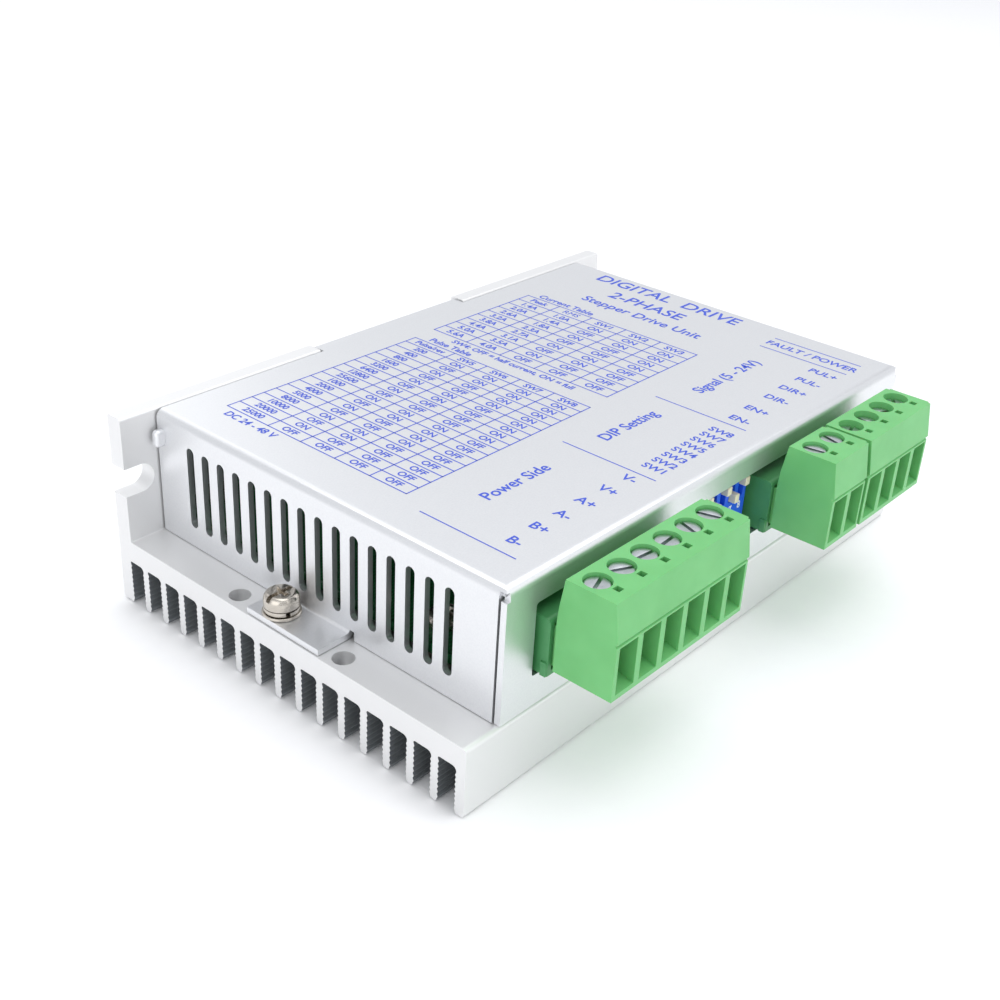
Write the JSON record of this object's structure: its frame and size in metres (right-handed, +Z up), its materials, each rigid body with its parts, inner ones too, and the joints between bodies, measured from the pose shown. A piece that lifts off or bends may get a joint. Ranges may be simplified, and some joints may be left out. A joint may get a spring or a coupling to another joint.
{
  "type": "stepper driver module",
  "caption": "Boxed motor driver on a finned aluminium angle, with a folded vented cover, pluggable screw-terminal blocks, a slide switch and two indicator lights.",
  "frame": {"origin": "middle of the whole object's base: half way along the heatsink, half way from the terminal plugs' fronts to the back wall's outer face, at the fin tips", "axes": "+X along the heatsink from the earth-screw end, +Y from the terminal plugs to the back wall, +Z up from the fins to the cover"},
  "size_m": [0.118, 0.0878, 0.033],
  "materials": {
    "anodised_aluminium": "matte clear anodised extrusion",
    "cover_sheet": "satin silver sheet",
    "plated_steel": "bright nickel plating",
    "tinned_brass": "tinned",
    "plug_green": "satin light green",
    "header_green": "satin dark green",
    "board_green": "solder mask",
    "switch_blue": "satin blue",
    "knob_cream": "satin cream",
    "sleeve_black": "shrink sleeve",
    "pad_grey": "soft gap filler",
    "lens_green": "clear tinted",
    "lens_red": "clear tinted"
  },
  "bodies": {
    "module": {"heatsink": "anodised_aluminium", "cover": "cover_sheet", "main_board": "board_green", "header_6way": "header_green", "header_2way": "header_green", "header_4way": "header_green", "switch_body": "switch_blue", "power_light": "lens_green", "alarm_light": "lens_red", "earth_screw": "plated_steel", "earth_spring_washer": "plated_steel", "earth_flat_washer": "plated_steel", "cover_screw_left": "plated_steel", "cover_screw_right": "plated_steel", "capacitor_left": "sleeve_black", "capacitor_right": "sleeve_black", "thermal_pad": "pad_grey", "standoff_back_left": "tinned_brass", "standoff_back_right": "tinned_brass", "standoff_front_left": "tinned_brass", "standoff_front_right": "tinned_brass", "board_screw_back_left": "plated_steel", "board_screw_back_right": "plated_steel", "board_screw_front_left": "plated_steel", "board_screw_front_right": "plated_steel"},
    "plug_6way": {"plug_6way": "plug_green"},
    "clamp_screw_6way_1": {"clamp_screw_6way_1": "plated_steel"},
    "wire_cage_6way_1": {"wire_cage_6way_1": "tinned_brass"},
    "clamp_screw_6way_2": {"clamp_screw_6way_2": "plated_steel"},
    "wire_cage_6way_2": {"wire_cage_6way_2": "tinned_brass"},
    "clamp_screw_6way_3": {"clamp_screw_6way_3": "plated_steel"},
    "wire_cage_6way_3": {"wire_cage_6way_3": "tinned_brass"},
    "clamp_screw_6way_4": {"clamp_screw_6way_4": "plated_steel"},
    "wire_cage_6way_4": {"wire_cage_6way_4": "tinned_brass"},
    "clamp_screw_6way_5": {"clamp_screw_6way_5": "plated_steel"},
    "wire_cage_6way_5": {"wire_cage_6way_5": "tinned_brass"},
    "clamp_screw_6way_6": {"clamp_screw_6way_6": "plated_steel"},
    "wire_cage_6way_6": {"wire_cage_6way_6": "tinned_brass"},
    "plug_2way": {"plug_2way": "plug_green"},
    "clamp_screw_2way_1": {"clamp_screw_2way_1": "plated_steel"},
    "wire_cage_2way_1": {"wire_cage_2way_1": "tinned_brass"},
    "clamp_screw_2way_2": {"clamp_screw_2way_2": "plated_steel"},
    "wire_cage_2way_2": {"wire_cage_2way_2": "tinned_brass"},
    "plug_4way": {"plug_4way": "plug_green"},
    "clamp_screw_4way_1": {"clamp_screw_4way_1": "plated_steel"},
    "wire_cage_4way_1": {"wire_cage_4way_1": "tinned_brass"},
    "clamp_screw_4way_2": {"clamp_screw_4way_2": "plated_steel"},
    "wire_cage_4way_2": {"wire_cage_4way_2": "tinned_brass"},
    "clamp_screw_4way_3": {"clamp_screw_4way_3": "plated_steel"},
    "wire_cage_4way_3": {"wire_cage_4way_3": "tinned_brass"},
    "clamp_screw_4way_4": {"clamp_screw_4way_4": "plated_steel"},
    "wire_cage_4way_4": {"wire_cage_4way_4": "tinned_brass"},
    "switch_knob_1": {"switch_knob_1": "knob_cream"},
    "switch_knob_2": {"switch_knob_2": "knob_cream"},
    "switch_knob_3": {"switch_knob_3": "knob_cream"},
    "switch_knob_4": {"switch_knob_4": "knob_cream"},
    "switch_knob_5": {"switch_knob_5": "knob_cream"},
    "switch_knob_6": {"switch_knob_6": "knob_cream"},
    "switch_knob_7": {"switch_knob_7": "knob_cream"},
    "switch_knob_8": {"switch_knob_8": "knob_cream"}
  },
  "joints": [
    {"name": "plug_6way_slide", "type": "slide", "parent": "module", "child": "plug_6way", "axis": [0, -1, 0], "range_m": [0, 0.012]},
    {"name": "clamp_screw_6way_1_turn", "type": "hinge", "parent": "plug_6way", "child": "clamp_screw_6way_1", "pos_m": [-0.0425, -0.03795, 0.0325], "axis": [0, 0, 1], "range_deg": [-1080, 0]},
    {"name": "wire_cage_6way_1_lift", "type": "slide", "parent": "plug_6way", "child": "wire_cage_6way_1", "axis": [0, 0, 1], "range_m": [0, 0.0015]},
    {"name": "clamp_screw_6way_2_turn", "type": "hinge", "parent": "plug_6way", "child": "clamp_screw_6way_2", "pos_m": [-0.03742, -0.03795, 0.0325], "axis": [0, 0, 1], "range_deg": [-1080, 0]},
    {"name": "wire_cage_6way_2_lift", "type": "slide", "parent": "plug_6way", "child": "wire_cage_6way_2", "axis": [0, 0, 1], "range_m": [0, 0.0015]},
    {"name": "clamp_screw_6way_3_turn", "type": "hinge", "parent": "plug_6way", "child": "clamp_screw_6way_3", "pos_m": [-0.03234, -0.03795, 0.0325], "axis": [0, 0, 1], "range_deg": [-1080, 0]},
    {"name": "wire_cage_6way_3_lift", "type": "slide", "parent": "plug_6way", "child": "wire_cage_6way_3", "axis": [0, 0, 1], "range_m": [0, 0.0015]},
    {"name": "clamp_screw_6way_4_turn", "type": "hinge", "parent": "plug_6way", "child": "clamp_screw_6way_4", "pos_m": [-0.02726, -0.03795, 0.0325], "axis": [0, 0, 1], "range_deg": [-1080, 0]},
    {"name": "wire_cage_6way_4_lift", "type": "slide", "parent": "plug_6way", "child": "wire_cage_6way_4", "axis": [0, 0, 1], "range_m": [0, 0.0015]},
    {"name": "clamp_screw_6way_5_turn", "type": "hinge", "parent": "plug_6way", "child": "clamp_screw_6way_5", "pos_m": [-0.02218, -0.03795, 0.0325], "axis": [0, 0, 1], "range_deg": [-1080, 0]},
    {"name": "wire_cage_6way_5_lift", "type": "slide", "parent": "plug_6way", "child": "wire_cage_6way_5", "axis": [0, 0, 1], "range_m": [0, 0.0015]},
    {"name": "clamp_screw_6way_6_turn", "type": "hinge", "parent": "plug_6way", "child": "clamp_screw_6way_6", "pos_m": [-0.0171, -0.03795, 0.0325], "axis": [0, 0, 1], "range_deg": [-1080, 0]},
    {"name": "wire_cage_6way_6_lift", "type": "slide", "parent": "plug_6way", "child": "wire_cage_6way_6", "axis": [0, 0, 1], "range_m": [0, 0.0015]},
    {"name": "plug_2way_slide", "type": "slide", "parent": "module", "child": "plug_2way", "axis": [0, -1, 0], "range_m": [0, 0.012]},
    {"name": "clamp_screw_2way_1_turn", "type": "hinge", "parent": "plug_2way", "child": "clamp_screw_2way_1", "pos_m": [0.0121, -0.03795, 0.0325], "axis": [0, 0, 1], "range_deg": [-1080, 0]},
    {"name": "wire_cage_2way_1_lift", "type": "slide", "parent": "plug_2way", "child": "wire_cage_2way_1", "axis": [0, 0, 1], "range_m": [0, 0.0015]},
    {"name": "clamp_screw_2way_2_turn", "type": "hinge", "parent": "plug_2way", "child": "clamp_screw_2way_2", "pos_m": [0.01718, -0.03795, 0.0325], "axis": [0, 0, 1], "range_deg": [-1080, 0]},
    {"name": "wire_cage_2way_2_lift", "type": "slide", "parent": "plug_2way", "child": "wire_cage_2way_2", "axis": [0, 0, 1], "range_m": [0, 0.0015]},
    {"name": "plug_4way_slide", "type": "slide", "parent": "module", "child": "plug_4way", "axis": [0, -1, 0], "range_m": [0, 0.012]},
    {"name": "clamp_screw_4way_1_turn", "type": "hinge", "parent": "plug_4way", "child": "clamp_screw_4way_1", "pos_m": [0.0234, -0.03795, 0.032], "axis": [0, 0, 1], "range_deg": [-1080, 0]},
    {"name": "wire_cage_4way_1_lift", "type": "slide", "parent": "plug_4way", "child": "wire_cage_4way_1", "axis": [0, 0, 1], "range_m": [0, 0.0015]},
    {"name": "clamp_screw_4way_2_turn", "type": "hinge", "parent": "plug_4way", "child": "clamp_screw_4way_2", "pos_m": [0.02848, -0.03795, 0.032], "axis": [0, 0, 1], "range_deg": [-1080, 0]},
    {"name": "wire_cage_4way_2_lift", "type": "slide", "parent": "plug_4way", "child": "wire_cage_4way_2", "axis": [0, 0, 1], "range_m": [0, 0.0015]},
    {"name": "clamp_screw_4way_3_turn", "type": "hinge", "parent": "plug_4way", "child": "clamp_screw_4way_3", "pos_m": [0.03356, -0.03795, 0.032], "axis": [0, 0, 1], "range_deg": [-1080, 0]},
    {"name": "wire_cage_4way_3_lift", "type": "slide", "parent": "plug_4way", "child": "wire_cage_4way_3", "axis": [0, 0, 1], "range_m": [0, 0.0015]},
    {"name": "clamp_screw_4way_4_turn", "type": "hinge", "parent": "plug_4way", "child": "clamp_screw_4way_4", "pos_m": [0.03864, -0.03795, 0.032], "axis": [0, 0, 1], "range_deg": [-1080, 0]},
    {"name": "wire_cage_4way_4_lift", "type": "slide", "parent": "plug_4way", "child": "wire_cage_4way_4", "axis": [0, 0, 1], "range_m": [0, 0.0015]},
    {"name": "switch_knob_1_slide", "type": "slide", "parent": "module", "child": "switch_knob_1", "axis": [0, 0, 1], "range_m": [-0.0022, 0]},
    {"name": "switch_knob_2_slide", "type": "slide", "parent": "module", "child": "switch_knob_2", "axis": [0, 0, 1], "range_m": [0, 0.0022]},
    {"name": "switch_knob_3_slide", "type": "slide", "parent": "module", "child": "switch_knob_3", "axis": [0, 0, 1], "range_m": [0, 0.0022]},
    {"name": "switch_knob_4_slide", "type": "slide", "parent": "module", "child": "switch_knob_4", "axis": [0, 0, 1], "range_m": [-0.0022, 0]},
    {"name": "switch_knob_5_slide", "type": "slide", "parent": "module", "child": "switch_knob_5", "axis": [0, 0, 1], "range_m": [0, 0.0022]},
    {"name": "switch_knob_6_slide", "type": "slide", "parent": "module", "child": "switch_knob_6", "axis": [0, 0, 1], "range_m": [-0.0022, 0]},
    {"name": "switch_knob_7_slide", "type": "slide", "parent": "module", "child": "switch_knob_7", "axis": [0, 0, 1], "range_m": [0, 0.0022]},
    {"name": "switch_knob_8_slide", "type": "slide", "parent": "module", "child": "switch_knob_8", "axis": [0, 0, 1], "range_m": [-0.0022, 0]}
  ],
  "couplings": [
    {"joint": "clamp_screw_6way_1_turn", "follows": "wire_cage_6way_1_lift", "rad_per_m": -12566},
    {"joint": "clamp_screw_6way_2_turn", "follows": "wire_cage_6way_2_lift", "rad_per_m": -12566},
    {"joint": "clamp_screw_6way_3_turn", "follows": "wire_cage_6way_3_lift", "rad_per_m": -12566},
    {"joint": "clamp_screw_6way_4_turn", "follows": "wire_cage_6way_4_lift", "rad_per_m": -12566},
    {"joint": "clamp_screw_6way_5_turn", "follows": "wire_cage_6way_5_lift", "rad_per_m": -12566},
    {"joint": "clamp_screw_6way_6_turn", "follows": "wire_cage_6way_6_lift", "rad_per_m": -12566},
    {"joint": "clamp_screw_2way_1_turn", "follows": "wire_cage_2way_1_lift", "rad_per_m": -12566},
    {"joint": "clamp_screw_2way_2_turn", "follows": "wire_cage_2way_2_lift", "rad_per_m": -12566},
    {"joint": "clamp_screw_4way_1_turn", "follows": "wire_cage_4way_1_lift", "rad_per_m": -12566},
    {"joint": "clamp_screw_4way_2_turn", "follows": "wire_cage_4way_2_lift", "rad_per_m": -12566},
    {"joint": "clamp_screw_4way_3_turn", "follows": "wire_cage_4way_3_lift", "rad_per_m": -12566},
    {"joint": "clamp_screw_4way_4_turn", "follows": "wire_cage_4way_4_lift", "rad_per_m": -12566}
  ]
}
